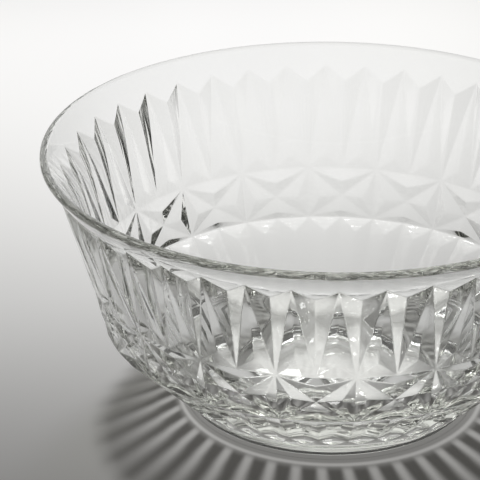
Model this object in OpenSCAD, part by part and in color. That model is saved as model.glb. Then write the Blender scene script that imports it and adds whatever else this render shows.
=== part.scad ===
// Pressed-glass trifle bowl. One clear pressing, patterned on the outside and smooth inside:
// a plain flared rim, pointed flutes, a belt of stars, lower flutes and a plain foot ring.
// Sizes in millimetres. The bowl stands on Z = 0 and one star of the belt faces -Y.
// Lines of the pattern are placed by shares of the rim's diameter and of the height.

/* [Overall] */
// Outside diameter over the lip
rim_d = 220; // [180:1:260]
// Height from the table to the top of the lip
height = 102; // [84:1:120]
// Stars round the belt, with two flutes to each star
stars = 20; // [16:1:24]

/* [Rim] */
// Thickness of the plain rim and of its round lip
lip_t = 3.3; // [2.6:0.1:4]
// Diameter at the notches between the flute points, where the flare starts
notch_across = 0.918; // [0.9:0.002:0.93]
// Height of those notches
notch_up = 0.86; // [0.84:0.002:0.874]
// Height of the flute points
point_up = 0.912; // [0.9:0.002:0.922]

/* [Upper flutes] */
// Depth of the hollow at the foot of each flute, behind its ridges
flute_hollow = 1.1; // [0.5:0.1:1.6]
// Height of that hollow, as a share of the flute's
flute_hollow_up = 0.134; // [0.1:0.002:0.17]

/* [Star belt] */
// Diameter on the upper star line
belt_top_across = 0.839; // [0.83:0.001:0.85]
// Height of the upper star line
belt_top_up = 0.517; // [0.5:0.001:0.53]
// Diameter on the lower star line
belt_low_across = 0.793; // [0.78:0.001:0.8]
// Height of the lower star line
belt_low_up = 0.314; // [0.3:0.001:0.33]
// Height of the crossings midway between the stars, as a share of the belt's
crossing_up = 0.45; // [0.4:0.01:0.55]
// Depth of the upper petal's cut between two stars
petal_cut = 1.7; // [0.8:0.1:2.2]
// Depth of the lower petal's cut
low_petal_cut = 1.4; // [0.8:0.1:2.2]
// Height of the petal below the upper star line, as a share of the belt's
petal_up = 0.237; // [0.15:0.001:0.28]
// Height of the petal above the lower star line, as a share of the belt's
low_petal_up = 0.164; // [0.1:0.001:0.22]
// Depth of the lozenge cut between two stars of one column
lozenge_cut = 1.6; // [0.8:0.1:2.2]
// Half width of the lozenge, as a share of the way from a star to a crossing
lozenge_w = 0.34; // [0.25:0.01:0.45]

/* [Lower flutes] */
// Depth of the grooves between the ridges
groove_cut = 2; // [0.8:0.1:2.4]
// Where a groove reaches its depth, as a share of the way down from the lower stars to the foot
groove_start = 0.13; // [0.08:0.01:0.2]
// Where it starts to run out
groove_turn = 0.57; // [0.5:0.01:0.6]
// Where the ridges end on the plain heel
ridge_end = 0.63; // [0.61:0.01:0.7]
// Where the tips of the grooves end
groove_end = 0.75; // [0.72:0.01:0.85]

/* [Foot] */
// Outside diameter of the foot ring
foot_across = 0.509; // [0.49:0.001:0.53]
// Height of the foot ring
foot_h = 2; // [1.6:0.1:3]
// Width of the flat land that the bowl rests on
foot_land = 6; // [4:0.5:9]
// Radius on the lower outside edge of the foot
foot_round = 1; // [0.6:0.1:1.4]
// Ledge by which the heel stands outside the foot ring
heel_ledge = 0.5; // [0.3:0.1:1]
// Depth of the dish under the base
base_hollow = 1.5; // [0.8:0.1:2]
// Flat middle of that dish, as a share of its width
base_flat = 0.5; // [0.4:0.05:0.8]

/* [Inside] */
// Wall between the inside face and the upper star line
wall_t = 5.3; // [4.5:0.1:6]
// Glass under the inside floor, above the dish of the base
floor_t = 7; // [5:0.5:9]
// Diameter at which the floor turns up
floor_across = 0.445; // [0.42:0.005:0.465]
// Length of that turn to either side
floor_bend = 12; // [6:0.5:16]
// Height of the waist, where the inside turns from the lower wall to the upper
waist_up = 0.333; // [0.32:0.001:0.35]
// Length of the waist's turn to either side
waist_bend = 12; // [6:0.5:16]
// Height at which the mouth starts to flare
mouth_up = 0.87; // [0.854:0.002:0.876]
// Length of the mouth's turn to either side
mouth_bend = 11; // [5:0.5:12]

/* [Hidden] */
$fn = 180;

glass = [0.86, 0.92, 0.9, 0.45];

// How far one solid is sunk into the next, so that no two faces lie on each other
overlap = 1.5;
// How far the flute points lie inside the flare, and the mouth inside the lip's round
point_sink = 0.15;
mouth_sink = 0.05;
// Straight steps along half a petal's edge, and how much fuller than straight it is
petal_steps = 3;
petal_bulge = 0.25;
// Straight steps along each turn of the inside
bend_steps = 8;

// The plain flare is the line from the notches that touches the lip's round
lip_r = lip_t / 2;
lip_c = [rim_d / 2 - lip_r, height - lip_r];
notch = [notch_across * rim_d / 2, notch_up * height];
flare_angle = atan2(lip_c[1] - notch[1], lip_c[0] - notch[0]) - asin(lip_r / norm(lip_c - notch));
flare_dir = [cos(flare_angle), sin(flare_angle)];
flare_out = [sin(flare_angle), -cos(flare_angle)];
function flare_r(z) = notch[0] + (z - notch[1]) * flare_dir[0] / flare_dir[1];

// Upper and lower star lines, and the straight wall between them
star_r = belt_top_across * rim_d / 2;
star_z = belt_top_up * height;
low_star_r = belt_low_across * rim_d / 2;
low_star_z = belt_low_up * height;
belt_h = star_z - low_star_z;
crossing_z = low_star_z + crossing_up * belt_h;
function belt_r(z) = low_star_r + (star_r - low_star_r) * (z - low_star_z) / belt_h;

// Upper flutes: ridges run from the points down to the star line, with a hollow on either side
point_z = point_up * height;
point_r = flare_r(point_z) - point_sink;
flute_h = point_z - star_z;
notch_top_r = star_r + (notch[0] - star_r) * flute_h / (notch[1] - star_z);
hollow_z = star_z + flute_hollow_up * flute_h;
hollow_r = star_r + (point_r - star_r) * flute_hollow_up - flute_hollow;

// Lower flutes: grooves between ridges that run down a cone to the heel, just above the foot ring
foot_r = foot_across * rim_d / 2;
heel_r = foot_r + heel_ledge;
low_flute_h = low_star_z - foot_h;
function low_z(share) = low_star_z - share * low_flute_h;
function low_r(share) = low_star_r - share * (low_star_r - heel_r);

// A point at radius r and height z, c quarter-stars on from star k; star 0 faces -Y
function on(r, z, k, c) =
    let (a = (k % stars + c / 4) * 360 / stars)
    [r * sin(a), -r * cos(a), z];

// A petal's edge from star k to the next: f goes from 0 on a star line to 1 at the tip and back to 0
function petal(line_z, reach, cut, k) = [
    for (i = [0:2 * petal_steps])
        let (
            f = 1 - abs(i / petal_steps - 1),
            drop = f * (1 + petal_bulge * (1 - f)),
            z = line_z + reach * drop,
            near = i <= petal_steps ? k : k + 1
        )
        on(belt_r(z) - cut * drop, z, near, near == k ? 2 * f : -2 * f)
];

// Triangles from a tip to each step along an edge, and the same triangles turned over
function fan(tip, edge) = [for (i = [0:len(edge) - 2]) [tip, edge[i], edge[i + 1]]];
function turned(facets) = [for (f = facets) [f[0], f[2], f[1]]];

// One upper flute between two notches: n and s are its notches and star-line ends, left and right
function flute(n_l, n_r, s_l, s_r, point, hollow) =
    [[n_l, point, s_l], [point, hollow, s_l], [point, s_r, hollow], [point, n_r, s_r], [s_l, hollow, s_r]];

// A point on the lower cone, a share of the way down it, and one sunk below it by the groove's depth
function on_low(share, k, c) = on(low_r(share), low_z(share), k, c);
function in_groove(share, k, c) = on(low_r(share) - groove_cut, low_z(share), k, c);

// One lower flute, c quarter-stars on from star k: its groove, the groove's end and the plain heel
function low_flute(k, c) =
    let (
        s_l = on_low(0, k, c),
        s_r = on_low(0, k, c + 2),
        top = in_groove(groove_start, k, c + 1),
        turn = in_groove(groove_turn, k, c + 1),
        ridge_l = on_low(ridge_end, k, c),
        ridge_r = on_low(ridge_end, k, c + 2),
        tip = on_low(groove_end, k, c + 1),
        heel = [for (i = [c:c + 2]) on_low(1, k, i)]
    )
    [
        [s_l, s_r, top],
        [s_l, top, turn],
        [s_l, turn, ridge_l],
        [s_r, turn, top],
        [s_r, ridge_r, turn],
        [turn, tip, ridge_l],
        [turn, ridge_r, tip],
        [ridge_l, tip, heel[1]],
        [ridge_l, heel[1], heel[0]],
        [ridge_r, heel[1], tip],
        [ridge_r, heel[2], heel[1]]
    ];

// All facets from star k to the next, with the petals, lozenges and flutes between them
function star_facets(k) =
    let (
        n = k + 1,
        mid_r = belt_r(crossing_z),
        star = on(star_r, star_z, k, 0),
        star_mid = on(star_r, star_z, k, 2),
        star_next = on(star_r, star_z, n, 0),
        low = on(low_star_r, low_star_z, k, 0),
        low_mid = on(low_star_r, low_star_z, k, 2),
        low_next = on(low_star_r, low_star_z, n, 0),
        crossing = on(mid_r, crossing_z, k, 2),
        right_half = [star, on(mid_r - lozenge_cut, crossing_z, k, 2 * lozenge_w), low],
        left_half = [star_next, on(mid_r - lozenge_cut, crossing_z, n, -2 * lozenge_w), low_next],
        petal_top = petal(star_z, -petal_up * belt_h, petal_cut, k),
        petal_low = petal(low_star_z, low_petal_up * belt_h, low_petal_cut, k),
        notch_l = on(notch_top_r, point_z, k, 0),
        notch_mid = on(notch_top_r, point_z, k, 2),
        notch_next = on(notch_top_r, point_z, n, 0)
    )
    concat(
        flute(notch_l, notch_mid, star, star_mid,
            on(point_r, point_z, k, 1), on(hollow_r, hollow_z, k, 1)),
        flute(notch_mid, notch_next, star_mid, star_next,
            on(point_r, point_z, k, 3), on(hollow_r, hollow_z, k, 3)),
        turned(fan(star_mid, petal_top)),
        fan(crossing, petal_top),
        turned(fan(crossing, right_half)),
        fan(crossing, left_half),
        fan(on(mid_r, crossing_z, k, 0), right_half),
        turned(fan(on(mid_r, crossing_z, n, 0), left_half)),
        turned(fan(crossing, petal_low)),
        fan(low_mid, petal_low),
        low_flute(k, 0),
        low_flute(k, 2)
    );

// The patterned body, closed flat at the flute points and at the heel
module cut_body() {
    facets = [for (k = [0:stars - 1]) each star_facets(k)];
    top = [
        for (k = [stars - 1:-1:0], c = [3, 2, 1, 0])
            on(c % 2 == 1 ? point_r : notch_top_r, point_z, k, c)
    ];
    bottom = [for (k = [0:stars - 1], c = [0:3]) on_low(1, k, c)];
    corners = 3 * len(facets);
    polyhedron(
        points = concat([for (f = facets) each f], top, bottom),
        faces = concat(
            [for (i = [0:3:corners - 3]) [i, i + 1, i + 2]],
            [[for (i = [0:len(top) - 1]) corners + i]],
            [[for (i = [0:len(bottom) - 1]) corners + len(top) + i]]
        )
    );
}

// The plain flared rim with its round lip, solid to the axis and sunk into the flutes
module plain_rim() {
    low_z = notch[1] - 2 * overlap;
    lip_outer = lip_c + lip_r * flare_out;
    lip_inner = lip_c - lip_r * flare_out;
    rotate_extrude() {
        polygon([
            [0, low_z],
            [flare_r(low_z), low_z],
            lip_outer,
            lip_inner,
            [0, lip_inner[1]]
        ]);
        translate(lip_c) circle(lip_r);
    }
}

// The foot ring, rounded where it meets the table
module foot() {
    rotate_extrude() {
        square([foot_r - foot_round, foot_h + overlap]);
        translate([0, foot_round]) square([foot_r, foot_h + overlap - foot_round]);
        translate([foot_r - foot_round, foot_round]) circle(foot_round);
    }
}

// A smooth turn at one corner of a profile, joining the lines to the corners before and after it
function bend(before, at, after, reach) =
    let (
        a = at + reach * (before - at) / norm(before - at),
        b = at + reach * (after - at) / norm(after - at)
    )
    [
        for (i = [0:bend_steps])
            let (t = i / bend_steps)
            a * pow(1 - t, 2) + at * 2 * t * (1 - t) + b * pow(t, 2)
    ];

// The smooth inside: flat floor, lower wall, upper wall and flared mouth
module inside() {
    lip_line = lip_c - (lip_r - mouth_sink) * flare_out;
    mouth_z = mouth_up * height;
    mouth = [lip_line[0] + (mouth_z - lip_line[1]) * flare_dir[0] / flare_dir[1], mouth_z];
    wall = [star_r - wall_t, star_z];
    waist_z = waist_up * height;
    waist = wall + (mouth - wall) * (waist_z - star_z) / (mouth_z - star_z);
    centre = [0, base_hollow + floor_t];
    toe = [floor_across * rim_d / 2, centre[1]];
    over = lip_line + lip_t * flare_dir;
    rotate_extrude() polygon(concat(
        [centre],
        bend(centre, toe, waist, floor_bend),
        bend(toe, waist, mouth, waist_bend),
        bend(waist, mouth, over, mouth_bend),
        [over, [0, over[1]]]
    ));
}

// The shallow dish under the base
module under_base() {
    r = foot_r - foot_round - foot_land;
    rotate_extrude() polygon([
        [0, -overlap],
        [r, -overlap],
        [r, 0],
        [base_flat * r, base_hollow],
        [0, base_hollow]
    ]);
}

// The whole pressing
module bowl() {
    color(glass) difference() {
        union() {
            cut_body();
            plain_rim();
            foot();
        }
        inside();
        under_base();
    }
}

bowl();
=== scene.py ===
# %% [markdown]
# # A pressed-glass trifle bowl
# The bowl is one clear pressing: hot glass squeezed in a cut mould, so the outside carries a
# pattern of sharp facets and the inside, shaped by a smooth plunger, is plain. This lesson builds
# that shape facet by facet, gives it a real glass, and lights it from behind, so that it glows.
# The frame comes first: it holds the bowl's size and place, and its box must not be left later on.

# %% Load the frame
import math

import bmesh
import bpy
from mathutils import Matrix, Vector


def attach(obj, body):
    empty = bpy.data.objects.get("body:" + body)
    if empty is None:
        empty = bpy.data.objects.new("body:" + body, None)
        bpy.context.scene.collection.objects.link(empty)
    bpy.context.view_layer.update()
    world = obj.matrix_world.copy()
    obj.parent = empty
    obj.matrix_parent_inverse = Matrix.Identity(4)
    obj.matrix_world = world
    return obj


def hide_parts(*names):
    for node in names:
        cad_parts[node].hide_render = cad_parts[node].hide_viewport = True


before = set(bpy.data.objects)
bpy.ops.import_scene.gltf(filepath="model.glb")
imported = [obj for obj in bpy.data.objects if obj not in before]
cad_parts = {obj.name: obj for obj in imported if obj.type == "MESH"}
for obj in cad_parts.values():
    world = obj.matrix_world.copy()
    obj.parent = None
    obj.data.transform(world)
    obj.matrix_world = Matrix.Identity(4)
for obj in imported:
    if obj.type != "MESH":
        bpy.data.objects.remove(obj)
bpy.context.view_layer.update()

# %% [markdown]
# ## The sizes a mould maker would write down
# Each line of the pattern is a ring at some height and radius. Blender works in metres, but a bowl
# is easier to think of in millimetres, so the sizes stay in millimetres here and are scaled once,
# where the corners of the mesh are made. They are the frame's own sizes, but for a tenth of a
# millimetre at the rim, which keeps the finer lip inside the frame's box.

# %% Main sizes in millimetres
MM = 0.001
RIM_R, HEIGHT, LIP_T = 109.9, 102.0, 3.3
NOTCH_R, NOTCH_Z = 101.0, 87.7
POINT_Z = 93.0
STAR_R, STAR_Z = 92.3, 52.7
LOW_STAR_R, LOW_STAR_Z = 87.2, 32.0
FOOT_R, FOOT_H, HEEL_LEDGE = 56.0, 2.0, 0.5
HEEL_R = FOOT_R + HEEL_LEDGE
STARS = 20
print("stars", STARS, "across", 2 * RIM_R, "high", HEIGHT, "mm")

# %% [markdown]
# ## Where a corner sits
# The pattern repeats for every star, and each star is four columns wide: star, flute, middle, flute.
# Counting round the bowl in columns keeps the numbers small. Column 0 faces -Y, towards the camera.
# Round rings have four corners to a column, which is fine enough for a smooth lip.

# %% Columns and straight walls
COLUMNS = 4 * STARS
STEPS = 4
ROUND = COLUMNS * STEPS


def on(radius, z, column):
    turn = math.radians(column * 360 / COLUMNS)
    return Vector((radius * math.sin(turn), -radius * math.cos(turn), z))


def line(z, low, high):
    """Radius at height z on the straight line between two (radius, height) pairs."""
    return low[0] + (high[0] - low[0]) * (z - low[1]) / (high[1] - low[1])


def belt_r(z):
    return line(z, (LOW_STAR_R, LOW_STAR_Z), (STAR_R, STAR_Z))


def low_r(z):
    return line(z, (HEEL_R, FOOT_H), (LOW_STAR_R, LOW_STAR_Z))


print("corners round a ring", ROUND, "radius mid belt", belt_r((STAR_Z + LOW_STAR_Z) / 2), "mm")

# %% [markdown]
# ## The plain flared rim
# Above the flutes the wall is a plain cone that opens to a round lip. Its line starts at the notches
# and just touches the lip's circle, so the two meet without a crease. A profile drawn once and spun
# round is the natural way to make it, and the same holds for the inside and the foot.

# %% The flare and the lip's circle
LIP_SPARE = 0.02
lip_r = LIP_T / 2
lip_c = Vector((RIM_R - lip_r, HEIGHT - lip_r - LIP_SPARE))
to_lip = lip_c - Vector((NOTCH_R, NOTCH_Z))
flare_angle = math.atan2(to_lip.y, to_lip.x) - math.asin(lip_r / to_lip.length)
flare_dir = Vector((math.cos(flare_angle), math.sin(flare_angle)))
flare_out = Vector((flare_dir.y, -flare_dir.x))
flare_lean = flare_dir.x / flare_dir.y


def flare_r(z):
    return NOTCH_R + (z - NOTCH_Z) * flare_lean


POINT_R = flare_r(POINT_Z)
print("flare angle", round(math.degrees(flare_angle), 1), "point radius", round(POINT_R, 2))

# %% [markdown]
# ## A small workshop for faces
# A cut pattern is easiest to state as flat facets with named corners. Facets that share a corner must
# share one vertex, or the glass would leak at every seam and bend light wrongly. The workshop below
# keeps each corner it has made and hands the same one back when the next facet asks for it.

# %% Corners and facets
FINENESS = 1000  # corners less than a thousandth of a millimetre apart are one


class Pressing:
    """Collects facets with shared corners into one closed mesh."""

    def __init__(self):
        self.mesh = bmesh.new()
        self.corners = {}

    def corner(self, point):
        key = tuple(round(v * FINENESS) for v in point)
        if key not in self.corners:
            self.corners[key] = self.mesh.verts.new(point * MM)
        return self.corners[key]

    def facet(self, *points):
        corners = []
        for point in points:
            c = self.corner(point)
            if c not in corners:
                corners.append(c)
        if len(corners) > 2:
            self.mesh.faces.new(corners)

    def fan(self, tip, edge):
        for a, b in zip(edge, edge[1:]):
            self.facet(tip, a, b)

    def band(self, ring_a, ring_b):
        for i in range(len(ring_a)):
            j = (i + 1) % len(ring_a)
            self.facet(ring_a[i], ring_a[j], ring_b[j], ring_b[i])


bowl = Pressing()
print("workshop ready, faces so far", len(bowl.mesh.faces))

# %% [markdown]
# ## Where a flat facet cuts a round wall
# The pointed line under the rim is not drawn: it is where flat facets run into the round flare. Both
# are straight lines in the upright plane of one column, so the height of the cut can be solved
# exactly for each small step round the bowl. A boolean would find the same line with a worse mesh.

# %% The pointed line under the rim
def meet(column, facet, cone):
    """The point at one column where a flat facet meets a cone, given as (radius at the table, lean)."""
    a, b, c = facet
    normal = (b - a).cross(c - a)
    across = normal.dot(on(1, 0, column))
    z = (normal.dot(a) - cone[0] * across) / (cone[1] * across + normal.z)
    return on(cone[0] + cone[1] * z, z, column)


def cut_line(column):
    """The point at which the facets of a flute meet the flare, at any column."""
    even, odd = 2 * round(column / 2), 2 * math.floor(column / 2) + 1
    facet = on(NOTCH_R, NOTCH_Z, even), on(POINT_R, POINT_Z, odd), on(STAR_R, STAR_Z, even)
    return meet(column, facet, (flare_r(0), flare_lean))


zigzag = [cut_line(i / STEPS) for i in range(ROUND)]
heights = [point.z for point in zigzag]
print("pointed line from", round(min(heights), 2), "to", round(max(heights), 2), "mm")

# %% [markdown]
# ## The flutes
# Each flute runs from a point under the rim down to the star line. Its two long ridges fall from the
# point to the star line on either side, and the glass is a little hollow at the foot of the flute.
# Five flat facets are enough for one flute, so they are written down one by one.

# %% Upper flutes
FLUTE_HOLLOW, FLUTE_HOLLOW_UP = 1.1, 0.134
hollow_z = STAR_Z + FLUTE_HOLLOW_UP * (POINT_Z - STAR_Z)
hollow_r = line(hollow_z, (STAR_R, STAR_Z), (POINT_R, POINT_Z)) - FLUTE_HOLLOW
for c in range(0, COLUMNS, 2):
    top = [zigzag[(c * STEPS + i) % ROUND] for i in range(2 * STEPS + 1)]
    left, right = on(STAR_R, STAR_Z, c), on(STAR_R, STAR_Z, c + 2)
    point, hollow = top[STEPS], on(hollow_r, hollow_z, c + 1)
    bowl.facet(left, *top[: STEPS + 1])
    bowl.facet(left, point, hollow)
    bowl.facet(right, hollow, point)
    bowl.facet(right, *top[STEPS:])
    bowl.facet(left, hollow, right)
print("flutes", 2 * STARS, "faces so far", len(bowl.mesh.faces))

# %% [markdown]
# ## The belt of stars
# Between two star lines runs the belt. Wherever flutes, petals and lozenges meet, their ridges form a
# star. A petal is a shallow round cut that hangs between two stars; its edge is an arc, so it is made
# of small steps here.

# %% The edge of a petal
PETAL_CUT, PETAL_H = 1.7, 4.9
LOW_PETAL_CUT, LOW_PETAL_H = 1.4, 3.4
PETAL_STEPS, PETAL_CURVE = 6, 0.25


def petal_edge(line_z, reach, cut, column):
    edge = []
    for i in range(2 * PETAL_STEPS + 1):
        f = 1 - abs(i / PETAL_STEPS - 1)
        drop = f * (1 + PETAL_CURVE - PETAL_CURVE * f)
        z = line_z + reach * drop
        edge.append(on(belt_r(z) - cut * drop, z, column + 4 * i / (2 * PETAL_STEPS)))
    return edge


print("corners on a petal's edge", len(petal_edge(STAR_Z, -PETAL_H, PETAL_CUT, 0)))

# %% [markdown]
# ## Petals and lozenges
# Two petals, one from above and one from below, meet at a crossing midway between two stars. What is
# left between the crossings is a lozenge: a diamond with a ridge down its middle and a cut corner on
# each side. Fans of small facets round one tip make all of them.

# %% Petals and lozenges
LOZENGE_CUT, LOZENGE_W = 1.6, 0.34
CROSSING_UP = 0.45
crossing_z = LOW_STAR_Z + CROSSING_UP * (STAR_Z - LOW_STAR_Z)
crossing_r = belt_r(crossing_z)
for c in range(0, COLUMNS, 4):
    upper = petal_edge(STAR_Z, -PETAL_H, PETAL_CUT, c)
    lower = petal_edge(LOW_STAR_Z, LOW_PETAL_H, LOW_PETAL_CUT, c)
    crossing = on(crossing_r, crossing_z, c + 2)
    bowl.fan(on(STAR_R, STAR_Z, c + 2), upper)
    bowl.fan(crossing, upper)
    bowl.fan(crossing, lower)
    bowl.fan(on(LOW_STAR_R, LOW_STAR_Z, c + 2), lower)
    for star, side in ((c, 1), (c + 4, -1)):
        corner = on(crossing_r - LOZENGE_CUT, crossing_z, star + side * 2 * LOZENGE_W)
        half = [on(STAR_R, STAR_Z, star), corner, on(LOW_STAR_R, LOW_STAR_Z, star)]
        bowl.fan(crossing, half)
        bowl.fan(on(crossing_r, crossing_z, star), half)
print("belt done, faces so far", len(bowl.mesh.faces))

# %% [markdown]
# ## Where the lower flutes run out
# Under the belt the wall turns in to the foot. Here the flutes are plain V grooves between ridges that
# start at the stars and midway between them. Each groove runs out above the foot, on a plain round
# heel, so its end is again a flat facet that meets a cone.

# %% The wavy line above the heel
GROOVE_CUT, GROOVE_TOP_Z, GROOVE_LOW_Z = 2.0, 28.1, 15.0
GROOVE_END_Z, RIDGE_END_Z = 9.5, 13.0
low_lean = (LOW_STAR_R - HEEL_R) / (LOW_STAR_Z - FOOT_H)


def groove(z, column):
    return on(low_r(z) - GROOVE_CUT, z, column)


def run_out(column):
    """The point at which the end of a groove meets the plain heel, at any column."""
    even, odd = 2 * round(column / 2), 2 * math.floor(column / 2) + 1
    ends = on(low_r(RIDGE_END_Z), RIDGE_END_Z, even), on(low_r(GROOVE_END_Z), GROOVE_END_Z, odd)
    return meet(column, (*ends, groove(GROOVE_LOW_Z, odd)), (low_r(0), low_lean))


low_zigzag = [run_out(i / STEPS) for i in range(ROUND)]
print("lean of the lower wall", round(low_lean, 3))

# %% [markdown]
# ## The lower flutes
# With the wavy line known, one groove is seven flat facets: one under the belt, two down each side
# and two that close its end. A knife tool could cut them, but writing the corners keeps all forty alike.

# %% Lower flutes
for c in range(0, COLUMNS, 2):
    left, right = on(LOW_STAR_R, LOW_STAR_Z, c), on(LOW_STAR_R, LOW_STAR_Z, c + 2)
    top, low = groove(GROOVE_TOP_Z, c + 1), groove(GROOVE_LOW_Z, c + 1)
    end = [low_zigzag[(c * STEPS + i) % ROUND] for i in range(2 * STEPS + 1)]
    bowl.facet(left, top, right)
    bowl.fan(left, [end[0], low, top])
    bowl.fan(right, [top, low, end[-1]])
    bowl.facet(low, *end[: STEPS + 1])
    bowl.facet(low, *end[STEPS:])
print("lower flutes done, faces so far", len(bowl.mesh.faces))

# %% [markdown]
# ## Curves for the round parts
# What is left is round, and only its profile has to be drawn. Small arcs and soft bends stand where a
# real pressing is soft: at the lip, where the mouth flares, at the waist, at the floor and at the
# foot. Each arc has steps of less than the angle that counts as a ridge, so it stays smooth.

# %% Arcs and soft bends
def arc(centre, radius, start, end, steps):
    """Points on an arc from one angle to another, in degrees from the outward direction."""
    turns = [math.radians(start + (end - start) * i / steps) for i in range(steps + 1)]
    return [Vector((centre[0] + radius * math.cos(t), centre[1] + radius * math.sin(t))) for t in turns]


def soft_corner(before, at, after, reach, steps):
    """A smooth bend that leaves the line before the corner and joins the line after it."""
    a = at + (before - at).normalized() * reach
    b = at + (after - at).normalized() * reach
    bend = []
    for i in range(steps + 1):
        t = i / steps
        bend.append(a * (1 - t) ** 2 + at * 2 * t * (1 - t) + b * t ** 2)
    return bend


def ring(profile_point):
    return [on(profile_point.x, profile_point.y, i / STEPS) for i in range(ROUND)]


out_angle = math.degrees(math.atan2(flare_out.y, flare_out.x))
lip = arc(lip_c, lip_r, out_angle, out_angle + 180, steps=30)
print("points over the lip", len(lip))

# %% [markdown]
# ## The smooth inside
# The plunger that shapes the inside is a plain turned piece. From the lip its profile follows the
# flare down to the mouth, then a steep wall to the waist, a slanted wall to the toe, and the flat
# floor. The bends are wide, because a plunger with sharp corners would tear the hot glass.

# %% Profile of the inside
WALL_T = 5.3
MOUTH_Z, WAIST_Z = 88.7, 34.0
TOE_R, FLOOR_Z = 49.0, 8.5
MOUTH_BEND, WAIST_BEND, TOE_BEND = 11.0, 12.0, 12.0
inner_lip = lip[-1]
mouth = Vector((inner_lip.x + (MOUTH_Z - inner_lip.y) * flare_lean, MOUTH_Z))
wall_r = STAR_R - WALL_T
lean = (mouth.x - wall_r) / (MOUTH_Z - STAR_Z)
waist = Vector((wall_r + lean * (WAIST_Z - STAR_Z), WAIST_Z))
toe, middle = Vector((TOE_R, FLOOR_Z)), Vector((0, FLOOR_Z))
inside = lip + soft_corner(inner_lip, mouth, waist, MOUTH_BEND, steps=16)
inside += soft_corner(mouth, waist, toe, WAIST_BEND, steps=12)
inside += soft_corner(waist, toe, middle, TOE_BEND, steps=16)
inside += [Vector((inside[-1].x * share, FLOOR_Z)) for share in (0.66, 0.33)]
print("inside: waist", waist, "toe", toe, "wall lean", round(lean, 3))

# %% [markdown]
# ## Spinning the profile
# A Screw modifier could spin the profile, but its first ring has to use the very corners of the
# pointed line. So each point of the profile becomes a ring of its own, and neighbours are bridged.

# %% Spin the rim and the inside
SHOULDER = 0.8
shoulder_z = POINT_Z + SHOULDER


def bridge(rings, middle_z):
    """Bridges ring after ring and closes the last one round a middle point."""
    for a, b in zip(rings, rings[1:]):
        bowl.band(a, b)
    bowl.fan(Vector((0, 0, middle_z)), rings[-1] + rings[-1][:1])


shoulder = Vector((flare_r(shoulder_z), shoulder_z))
bridge([zigzag] + [ring(p) for p in [shoulder] + inside], FLOOR_Z)
print("rim and inside done, faces so far", len(bowl.mesh.faces))

# %% [markdown]
# ## The foot and the base
# The bowl stands on a low ring with a rounded edge. Inside that ring the base is a shallow dish, so
# that the bowl can't rock on a high middle. It closes the pressing, again as a spun profile.

# %% Spin the foot and the base
FOOT_ROUND, FOOT_LAND = 1.0, 6.0
BASE_HOLLOW, BASE_FLAT, DISH_BEND = 1.5, 0.5, 15.0
foot = [Vector((HEEL_R, FOOT_H)), Vector((FOOT_R, FOOT_H))]
foot += arc((FOOT_R - FOOT_ROUND, FOOT_ROUND), FOOT_ROUND, 0, -90, steps=15)
inner_foot = FOOT_R - FOOT_ROUND - FOOT_LAND
edge, dish = Vector((inner_foot, 0)), Vector((inner_foot * BASE_FLAT, BASE_HOLLOW))
foot += [edge] + soft_corner(edge, dish, Vector((0, BASE_HOLLOW)), DISH_BEND, steps=10)
bridge([low_zigzag] + [ring(p) for p in foot], BASE_HOLLOW)
print("foot done, faces", len(bowl.mesh.faces))

# %% [markdown]
# ## Crisp ridges, soft edges
# Fire polishing leaves every ridge of a pressing slightly round, and that thin rounded line is what
# catches the light. Edges that turn by more than a few degrees are marked, and a narrow bevel with
# hardened normals rounds just those, so the facets stay flat and the cone of the rim stays smooth.

# %% Close the mesh and mark the ridges
RIDGE_TURN = math.radians(7)
ML_PER_CUBIC_METRE = 1e6
mesh = bowl.mesh
bmesh.ops.recalc_face_normals(mesh, faces=mesh.faces)
weight = mesh.edges.layers.float.new("bevel_weight_edge")
open_edges = [e for e in mesh.edges if len(e.link_faces) != 2]
ridges = [e for e in mesh.edges if len(e.link_faces) == 2 and e.calc_face_angle() > RIDGE_TURN]
for e in ridges:
    e[weight] = 1
for f in mesh.faces:
    f.smooth = True
data = bpy.data.meshes.new("glass_bowl")
volume = mesh.calc_volume() * ML_PER_CUBIC_METRE
mesh.to_mesh(data)
mesh.free()
print("open edges", len(open_edges), "ridges", len(ridges), "volume", round(volume, 1), "ml")

# %% [markdown]
# ## A narrow bevel
# The rounding is left as a modifier, so its width can still be changed. It is about a third of a
# millimetre wide: wide enough to catch a line of light, and too narrow to blunt the points.

# %% Round the ridges
RIDGE_W = 0.36


def add_to_scene(name, contents):
    thing = bpy.data.objects.new(name, contents)
    bpy.context.scene.collection.objects.link(thing)
    return thing


glass_bowl = add_to_scene("glass_bowl", data)
bevel = glass_bowl.modifiers.new("fire_polish", "BEVEL")
bevel.width = RIDGE_W * MM
bevel.segments = 2
bevel.limit_method = "WEIGHT"
bevel.use_clamp_overlap = False
bevel.harden_normals = True
bevel.miter_outer = "MITER_SHARP"
bpy.context.view_layer.update()
shown = glass_bowl.evaluated_get(bpy.context.evaluated_depsgraph_get())
print("faces with rounded ridges", len(shown.data.polygons))

# %% [markdown]
# ## Writing shaders as sums
# Node trees are easier to read as sums than as boxes and lines. One small class stands for a socket,
# and adding or multiplying it adds the Math node that does so. One method makes every other node.

# %% Sockets that can be added up
class Wire:
    """A socket of a node tree that can be used in Python sums."""

    def __init__(self, finish, socket):
        self.finish, self.socket = finish, socket

    def sum(self, operation, a, b):
        return self.finish.node("ShaderNodeMath", {"operation": operation}, {0: a, 1: b})

    def __add__(self, other):
        return self.sum("ADD", self, other)

    def __sub__(self, other):
        return self.sum("SUBTRACT", self, other)

    def __mul__(self, other):
        return self.sum("MULTIPLY", self, other)

    def __rsub__(self, other):
        return self.sum("SUBTRACT", other, self)

    __radd__ = __add__
    __rmul__ = __mul__


print("sums: add, subtract, multiply")

# %% [markdown]
# ## One way to add a node
# Every node has a type, some settings and some sockets. One method takes all three, so that a finish
# reads from top to bottom. A smooth ramp is needed so often that it gets a name of its own.

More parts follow.
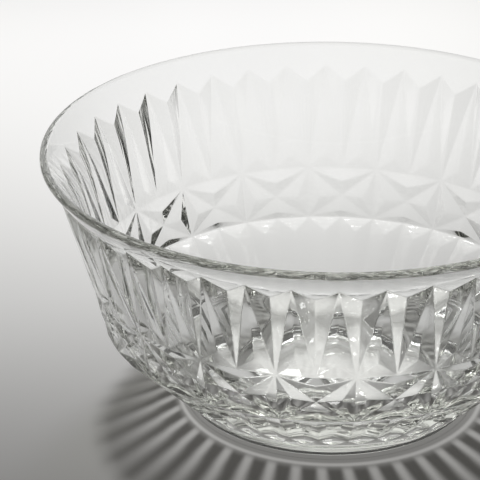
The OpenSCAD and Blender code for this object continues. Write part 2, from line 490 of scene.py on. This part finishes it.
# %% A tree that takes any node
class Finish:
    """A node tree with one method that adds any node: its settings first, then its sockets."""

    def __init__(self, tree):
        self.tree = tree
        tree.nodes.clear()

    def node(self, kind, settings=None, inputs=None, out=0):
        node = self.tree.nodes.new(kind)
        for name, value in (settings or {}).items():
            setattr(node, name, value)
        for name, value in (inputs or {}).items():
            if isinstance(value, Wire):
                self.tree.links.new(value.socket, node.inputs[name])
            else:
                node.inputs[name].default_value = value
        return Wire(self, node.outputs[out]) if len(node.outputs) else node

    def ramp(self, value, start, end, low=0.0, high=1.0):
        """Goes smoothly from one level to another between two values."""
        limits = {"Value": value, "From Min": start, "From Max": end, "To Min": low, "To Max": high}
        return self.node("ShaderNodeMapRange", {"interpolation_type": "SMOOTHSTEP"}, limits)


def new_finish(name):
    material = bpy.data.materials.new(name)
    material.use_nodes = True
    return material, Finish(material.node_tree)


print("shader helpers ready")

# %% [markdown]
# ## The glass
# Soda-lime glass bends light by about 1.52. It is nearly clear: a very faint yellow-green shows only
# on long ways through the thick rim and foot, so the tint is an absorption inside the glass and not a
# colour on its skin. A pressing is never optically flat: the plunger leaves long, weak waves, and
# handling leaves the faintest haze. Weak noise bumps the surface and varies the roughness a little.

# %% Clear glass
glass, wiring = new_finish("clear_glass")
place = wiring.node("ShaderNodeTexCoord", out="Object")
waves = wiring.node("ShaderNodeTexNoise", {}, {"Vector": place, "Scale": 55.0, "Detail": 2.0})
haze = wiring.node("ShaderNodeTexNoise", {}, {"Vector": place, "Scale": 160.0, "Detail": 4.0})
bump = {"Strength": 0.012, "Distance": 0.0006, "Height": waves}
skin = {
    "Base Color": (0.995, 1.0, 0.998, 1),
    "Roughness": haze * 0.012,
    "IOR": 1.52,
    "Transmission Weight": 1.0,
    "Normal": wiring.node("ShaderNodeBump", {}, bump),
}
body = wiring.node("ShaderNodeBsdfPrincipled", {}, skin)
tint = wiring.node("ShaderNodeVolumeAbsorption", {}, {"Color": (0.92, 0.95, 0.80, 1), "Density": 3.0})
print("glass bends light by", skin["IOR"])

# %% [markdown]
# ## How the lamp gets through
# Following every ray of a lamp through cut glass takes far too many samples. The usual way out is to
# let shadow rays pass straight through, as through a film: darker where real glass throws the light
# aside, brighter where it gathers light. The film has to know where on the bowl it is, so first come
# its height, its distance from the axis and its turn round the bowl, in millimetres and waves. The
# wall leans, so a distance that leans with it tells the outside from the inside.

# %% Places on the bowl
PER_METRE = 1000
INNER_LINE, OUTER_LINE = 48.5, 50.5


def in_mm(axis):
    return PER_METRE * wiring.node("ShaderNodeSeparateXYZ", {}, {"Vector": place}, out=axis)


across, along, up = in_mm("X"), in_mm("Y"), in_mm("Z")
turn = wiring.node("ShaderNodeMath", {"operation": "ARCTAN2"}, {0: across, 1: along})
level = (PER_METRE, PER_METRE, 0)
flat = wiring.node("ShaderNodeVectorMath", {"operation": "MULTIPLY"}, {0: place, 1: level})
reach = wiring.node("ShaderNodeVectorMath", {"operation": "LENGTH"}, {0: flat}, out="Value")


def wave_of(angle):
    return wiring.node("ShaderNodeMath", {"operation": "COSINE"}, {0: angle})


flute_wave = wave_of(turn * (2 * STARS))
star_wave = wave_of(turn * STARS)
outside = wiring.ramp(reach - low_lean * up, INNER_LINE, OUTER_LINE)
print("waves round the bowl", 2 * STARS, "and", STARS)

# %% [markdown]
# ## Streaks, band and ring
# On the table each ridge of the lower flutes leaves a bright streak and each groove a dark one, and
# the streaks fade as they leave the bowl. The plain heel leaves a grey band with one thin bright ring
# round the foot, and the far upper flutes dim the light as a whole. Each is a mask of the film. The
# two numbers of a ramp on the height are where a mask starts and where it is full, in millimetres.

# %% Masks of the film
low_flutes = wiring.ramp(up, 3.8, 6.4) * wiring.ramp(up, 34, 30) * outside
grooves = wiring.ramp(flute_wave, 0.75, -0.3)
plain = wiring.ramp(up, 14, 28, 0.22, 0.47)
streaks = low_flutes * (plain + (1 - plain) * grooves)
heel = wiring.ramp(up, 6.4, 3.8) * outside
ring_light = wiring.ramp(up, 2.9, 3.5) * wiring.ramp(up, 4.6, 4.0) * outside
high_flutes = wiring.ramp(up, 50, 56) * wiring.ramp(up, 94, 88) * wiring.ramp(along, 20, 60)
print("film nodes so far", len(glass.node_tree.nodes))

# %% [markdown]
# ## Broken light on the base
# Light that falls in at the mouth is broken up before it reaches the table under the base. A weak
# pattern of rays and rings stands for that, and it is what the near flutes show when they are seen
# from the front. It is a film on the floor of the bowl alone.

# %% Broken light
RAY_RING = 34
on_floor = wiring.ramp(up, 7.5, 8.2) * wiring.ramp(up, 13.5, 11.5) * wiring.ramp(reach, 44, 40)
ring_wave = wave_of(reach * (2 * math.pi / RAY_RING))
broken = wiring.ramp(star_wave * ring_wave, 0.3, -0.6) * on_floor
print("film nodes so far", len(glass.node_tree.nodes))

# %% [markdown]
# ## Glass for the eye, film for the lamp
# The film only stands in for the glass where a ray looks for a lamp, or comes from the matt table.
# Every other ray, from the camera or within the bowl, meets the real glass with its bends and tint.
# One film could do with a colour that changes, but three plain shades that are mixed by their masks
# are easier to set one by one: clear, brighter where light is gathered, and dull.

# %% Three shades of film
RING_GLOW = 0.6
HIGH_SHADE, HEEL_SHADE, BROKEN_SHADE = 0.25, 0.42, 0.28


def film(red, green, blue):
    return wiring.node("ShaderNodeBsdfTransparent", {}, {"Color": (red, green, blue, 1)})


def mix(factor, first, second):
    return wiring.node("ShaderNodeMixShader", {}, {0: factor, 1: first, 2: second})


gather = wiring.ramp(flute_wave, 0.2, 0.95) * low_flutes + RING_GLOW * ring_light
dark = streaks + HIGH_SHADE * high_flutes + HEEL_SHADE * (heel - ring_light) + BROKEN_SHADE * broken
clear, gathered, dull = film(0.98, 0.98, 0.975), film(1.4, 1.4, 1.4), film(0.285, 0.28, 0.27)
shade = mix(dark, mix(gather, clear, gathered), dull)
print("film nodes so far", len(glass.node_tree.nodes))

# %% [markdown]
# ## Choosing between the two
# A Light Path node tells what kind of ray has arrived. Shadow rays and rays from the matt table get
# the film, all others the glass, so one mix joins the two. The tint fills the volume for both.

# %% Join glass and film
ray_kinds = ("Is Shadow Ray", "Is Diffuse Ray")
shadow_ray, soft_ray = [wiring.node("ShaderNodeLightPath", out=kind) for kind in ray_kinds]
through = wiring.node("ShaderNodeMath", {"operation": "MAXIMUM"}, {0: shadow_ray, 1: soft_ray})
surface = mix(through, body, shade)
wiring.node("ShaderNodeOutputMaterial", {}, {"Surface": surface, "Volume": tint})
data.materials.append(glass)
print("glass nodes", len(glass.node_tree.nodes))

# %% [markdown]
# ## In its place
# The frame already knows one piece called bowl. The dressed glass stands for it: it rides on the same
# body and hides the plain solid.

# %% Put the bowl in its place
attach(glass_bowl, "root")
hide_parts("bowl")
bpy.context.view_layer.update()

# %% [markdown]
# ## The table
# Glass has no colour of its own: it shows what stands round it, and most of that is the table. One
# flat sheet, much larger than the picture, is enough. It is marked as stage, so it never counts as a
# part of the bowl.

# %% A flat sheet
SHEET_HALF = 2.5
floor_data = bpy.data.meshes.new("floor")
sheet = bmesh.new()
bmesh.ops.create_grid(sheet, x_segments=1, y_segments=1, size=SHEET_HALF)
sheet.to_mesh(floor_data)
sheet.free()
floor = add_to_scene("floor", floor_data)
print("sheet side", 2 * SHEET_HALF, "m")

# %% [markdown]
# ## The paper, with painted shade
# Paper that is pale behind the bowl gives the facets something light to pick up, and painted shade
# greys it towards the viewer, in place of the light falling off there, to give them something dark. It
# could be lit that way, but painted shade is easier to control. Under the back window the paper is
# painted a little greyer, a painted shade that cancels the window's bright spot so that the lit sheet
# looks even there, and fine fibres break up the slow change.

# %% Paper with painted shade
WINDOW = Vector((-0.034, 0.426, 0.45))
# The near grey and the grey under the window are painted shade, not the paper's own colour.
PALE, WINDOW_SPOT_SHADE, NEAR_SHADE_GREY = (0.915, 0.91, 0.895, 1), (0.765, 0.76, 0.755, 1), (0.61, 0.60, 0.585, 1)
FIBRE_SHARE = 0.04
GREY_Y, PALE_Y = -0.13, 0.105
WINDOW_FROM_Y, WINDOW_FULL_Y = 0.12, 0.36
WINDOW_EDGE, WINDOW_CORE = 0.2, 0.02
paper, wiring = new_finish("paper_with_painted_shade")
place = wiring.node("ShaderNodeTexCoord", out="Object")
fibre = wiring.node("ShaderNodeTexNoise", {}, {"Vector": place, "Scale": 900.0, "Detail": 3.0})
aside, along = [wiring.node("ShaderNodeSeparateXYZ", {}, {"Vector": place}, out=i) for i in "XY"]
off_window = wiring.node("ShaderNodeMath", {"operation": "ABSOLUTE"}, {0: aside - WINDOW.x})
far = wiring.ramp(along, WINDOW_FROM_Y, WINDOW_FULL_Y)
# Painted shade: this mask greys the paper where the back window's light falls strongest, to even it out.
window_spot_shade_mask = far * wiring.ramp(off_window, WINDOW_EDGE, WINDOW_CORE)


def blend(factor, first, second):
    colours = {0: factor, 6: first, 7: second}
    return wiring.node("ShaderNodeMix", {"data_type": "RGBA"}, colours, out=2)


# Painted shade: the paper greys towards the viewer in place of the light falling off; the fibres are the
# paper's own.
falloff_shade = wiring.ramp(along, GREY_Y, PALE_Y) + FIBRE_SHARE * fibre
paper_and_painted_shade = blend(falloff_shade, NEAR_SHADE_GREY, blend(window_spot_shade_mask, PALE, WINDOW_SPOT_SHADE))
matt = {"Base Color": paper_and_painted_shade, "Roughness": 0.8, "Specular IOR Level": 0.0}
coat = wiring.node("ShaderNodeBsdfPrincipled", {}, matt)
wiring.node("ShaderNodeOutputMaterial", {}, {"Surface": coat})
floor_data.materials.append(paper)
print("paper nodes", len(paper.node_tree.nodes))

# %% [markdown]
# ## Light from behind
# A small window hangs behind and above the bowl, so that its light falls through the glass towards
# the viewer and throws the pattern on the table. Its size sets how soft the streaks are: a wider one
# blurs their far ends first, as in the picture.

# %% Back window
WINDOW_SIDE = 0.11
WINDOW_AIM = Vector((0, 0.2, 0))
window_data = bpy.data.lights.new("back_window", "AREA")
window_data.shape = "RECTANGLE"
window_data.size = window_data.size_y = WINDOW_SIDE
window_data.energy = 2.8
window = add_to_scene("back_window", window_data)
window.visible_glossy = False
window.location = WINDOW
window.rotation_euler = (WINDOW_AIM - WINDOW).to_track_quat("-Z", "Y").to_euler()
print("window watts", window_data.energy)

# %% [markdown]
# ## Light from above
# A narrow spot straight above the mouth makes a pool of light under the base. The near flutes look
# down on it, so it is what makes some of their facets bright. A wider pool would fill them all, and
# the facets would no longer differ.

# %% Spot over the mouth
SPOT_HEIGHT, POOL_R = 0.9, 0.038
spot_data = bpy.data.lights.new("snoot", "SPOT")
spot_data.energy = 21
spot_data.spot_size = 2 * math.atan(POOL_R / SPOT_HEIGHT)
spot_data.spot_blend = 0.4
spot_data.shadow_soft_size = 0.01
spot = add_to_scene("snoot", spot_data)
spot.location = (0, 0, SPOT_HEIGHT)
print("pool of light", round(2 * POOL_R, 3), "m across")

# %% [markdown]
# ## The room
# What the glass mirrors and bends is the room: bright behind, nearly as bright above, dark at both
# sides and in front, as with black boards beside a glass in a studio. It is a soft change over the
# sky, and it is kept from lighting the table, so that the lamps alone set the shadow.

# %% Sky of the studio
HEIGHT_PULL, SIDE_PULL = 0.6, 1.3
DARK_AT, BRIGHT_AT = -0.5, 0.9
DARKEST, BRIGHTEST = 0.02, 0.95
world = bpy.data.worlds.new("studio")
bpy.context.scene.world = world
world.use_nodes = True
wiring = Finish(world.node_tree)
ray = wiring.node("ShaderNodeTexCoord", out="Generated")
aside, back, height = [wiring.node("ShaderNodeSeparateXYZ", {}, {"Vector": ray}, out=i) for i in "XYZ"]
off_side = wiring.node("ShaderNodeMath", {"operation": "ABSOLUTE"}, {0: aside})
facing = back + HEIGHT_PULL * height - SIDE_PULL * off_side
bright = wiring.ramp(facing, DARK_AT, BRIGHT_AT, DARKEST, BRIGHTEST)
soft_ray = wiring.node("ShaderNodeLightPath", out="Is Diffuse Ray")
glow = {"Color": (1, 1, 1, 1), "Strength": bright * (1 - soft_ray)}
sky = wiring.node("ShaderNodeBackground", {}, glow)
wiring.node("ShaderNodeOutputWorld", {}, {"Surface": sky})
print("sky nodes", len(world.node_tree.nodes))

# %% [markdown]
# ## The camera
# The picture is taken with a long lens from a little above the rim, so the near rim crosses the
# middle of the frame and the far wall shows through the open mouth. The whole stand is turned a
# little round the bowl, so that the stars sit where the picture has them.

# %% Camera
LENS, SENSOR = 197.06, 36.0
YAW, PITCH, TURN = -0.0382, 0.4435, math.radians(-6.258)
STAND = Vector((0, -0.9081, 0.4939))
camera_data = bpy.data.cameras.new("viewer")
camera_data.sensor_width = SENSOR
camera_data.lens = LENS
camera = add_to_scene("viewer", camera_data)
look = Vector((math.sin(YAW) * math.cos(PITCH), math.cos(YAW) * math.cos(PITCH), -math.sin(PITCH)))
spin = Matrix.Rotation(TURN, 3, "Z")
camera.location = spin @ STAND
camera.rotation_euler = (spin @ look).to_track_quat("-Z", "Y").to_euler()
bpy.context.scene.camera = camera
print("camera at", [round(v, 3) for v in camera.location])

# %% [markdown]
# ## Last settings
# Light crosses many faces inside cut glass before it leaves, so the bounce limits are raised. The
# view transform is plain.

# %% View and bounces
scene = bpy.context.scene
scene.view_settings.view_transform = "Standard"
scene.cycles.max_bounces = 32
scene.cycles.transmission_bounces = 32
scene.cycles.glossy_bounces = 16
scene.cycles.caustics_refractive = False
